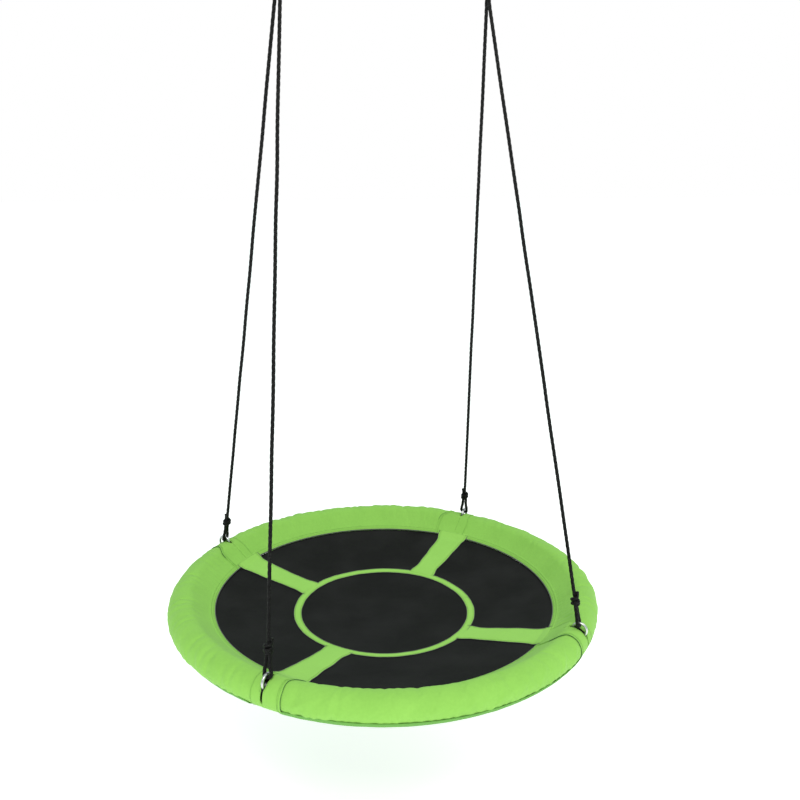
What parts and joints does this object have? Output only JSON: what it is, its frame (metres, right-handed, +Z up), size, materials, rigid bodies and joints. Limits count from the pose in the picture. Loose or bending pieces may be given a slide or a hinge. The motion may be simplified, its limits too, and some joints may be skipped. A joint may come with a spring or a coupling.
{
  "type": "saucer nest swing",
  "caption": "Round nest swing: a foam-padded steel ring in a green cloth cover with a dished black mat, hung on knotted ropes from snap hooks.",
  "frame": {"origin": "middle of the line between the two hook seats, where the hooks bear on their beam eyes", "axes": "+Z up, +X along the line of the two hook seats towards the right hook, +Y fore and aft, towards the back of the seat"},
  "size_m": [1, 1, 1.5897],
  "materials": {
    "green_cloth": "matt woven polyester",
    "black_mesh": "fine coated mesh",
    "grey_piping": "corded edge",
    "closure_tape": "hook-and-loop tape",
    "black_rope": "laid polypropylene, slightly shiny",
    "grey_foam": "closed-cell foam",
    "frame_steel": "grey powder coat",
    "zinc_steel": "zinc plated",
    "hook_steel": "zinc plated"
  },
  "bodies": {
    "hooks": {"snap_hook_left": "hook_steel", "snap_hook_right": "hook_steel", "gate_pin_left": "hook_steel", "gate_pin_right": "hook_steel"},
    "gate_left": {"gate_left": "hook_steel"},
    "gate_right": {"gate_right": "hook_steel"},
    "top_rings": {"top_ring_left": "zinc_steel", "top_ring_right": "zinc_steel"},
    "left_ropes": {"rope_front_left": "black_rope", "lower_knot_front_left": "black_rope", "lower_eye_front_left": "black_rope", "rope_back_left": "black_rope", "lower_knot_back_left": "black_rope", "lower_eye_back_left": "black_rope", "top_knot_left": "black_rope", "top_bight_left": "black_rope"},
    "right_ropes": {"rope_front_right": "black_rope", "lower_knot_front_right": "black_rope", "lower_eye_front_right": "black_rope", "rope_back_right": "black_rope", "lower_knot_back_right": "black_rope", "lower_eye_back_right": "black_rope", "top_knot_right": "black_rope", "top_bight_right": "black_rope"},
    "saucer": {"frame_tube_front_left": "frame_steel", "hanging_staple_front_left": "frame_steel", "link_ring_front_left": "zinc_steel", "strap_wrap_front_left": "green_cloth", "green_strip_front_left": "green_cloth", "frame_tube_front_right": "frame_steel", "hanging_staple_front_right": "frame_steel", "link_ring_front_right": "zinc_steel", "strap_wrap_front_right": "green_cloth", "green_strip_front_right": "green_cloth", "frame_tube_back_right": "frame_steel", "hanging_staple_back_right": "frame_steel", "link_ring_back_right": "zinc_steel", "strap_wrap_back_right": "green_cloth", "green_strip_back_right": "green_cloth", "frame_tube_back_left": "frame_steel", "hanging_staple_back_left": "frame_steel", "link_ring_back_left": "zinc_steel", "strap_wrap_back_left": "green_cloth", "green_strip_back_left": "green_cloth", "foam_sleeve_right": "grey_foam", "rim_cover_right": "green_cloth", "foam_sleeve_back": "grey_foam", "rim_cover_back": "green_cloth", "foam_sleeve_left": "grey_foam", "rim_cover_left": "green_cloth", "foam_sleeve_front": "grey_foam", "rim_cover_front": "green_cloth", "joint_bolts": "zinc_steel", "joint_nuts": "zinc_steel", "cover_closures": "closure_tape", "seat_mat": "black_mesh", "centre_ring": "green_cloth", "hem_band": "green_cloth", "edge_piping": "grey_piping"}
  },
  "joints": [
    {"name": "fore_aft_swing", "type": "hinge", "parent": "hooks", "child": "top_rings", "pos_m": [0, 0, -0.066], "axis": [1, 0, 0], "range_deg": [-45, 45]},
    {"name": "side_sway", "type": "hinge", "parent": "top_rings", "child": "left_ropes", "pos_m": [-0.221, 0, -0.1017], "axis": [0, 1, 0], "range_deg": [-10, 10]},
    {"name": "saucer_tilt", "type": "hinge", "parent": "left_ropes", "child": "saucer", "pos_m": [-0.3374, 0, -1.4784], "axis": [0, 1, 0], "range_deg": [-6.6, 6.6]},
    {"name": "right_rope_sway", "type": "hinge", "parent": "saucer", "child": "right_ropes", "pos_m": [0.3374, 0, -1.4784], "axis": [0, 1, 0], "range_deg": [-6.6, 6.6]},
    {"name": "left_gate", "type": "hinge", "parent": "hooks", "child": "gate_left", "pos_m": [-0.237, 0, -0.044], "axis": [0, 1, 0], "range_deg": [0, 24], "stiffness_Nm_per_rad": 0.05, "springref_deg": -14.32},
    {"name": "right_gate", "type": "hinge", "parent": "hooks", "child": "gate_right", "pos_m": [0.237, 0, -0.044], "axis": [0, -1, 0], "range_deg": [0, 24], "stiffness_Nm_per_rad": 0.05, "springref_deg": -14.32}
  ],
  "couplings": [
    {"joint": "saucer_tilt", "follows": "side_sway", "ratio": -0.655},
    {"joint": "right_rope_sway", "follows": "side_sway", "ratio": 0.655}
  ]
}
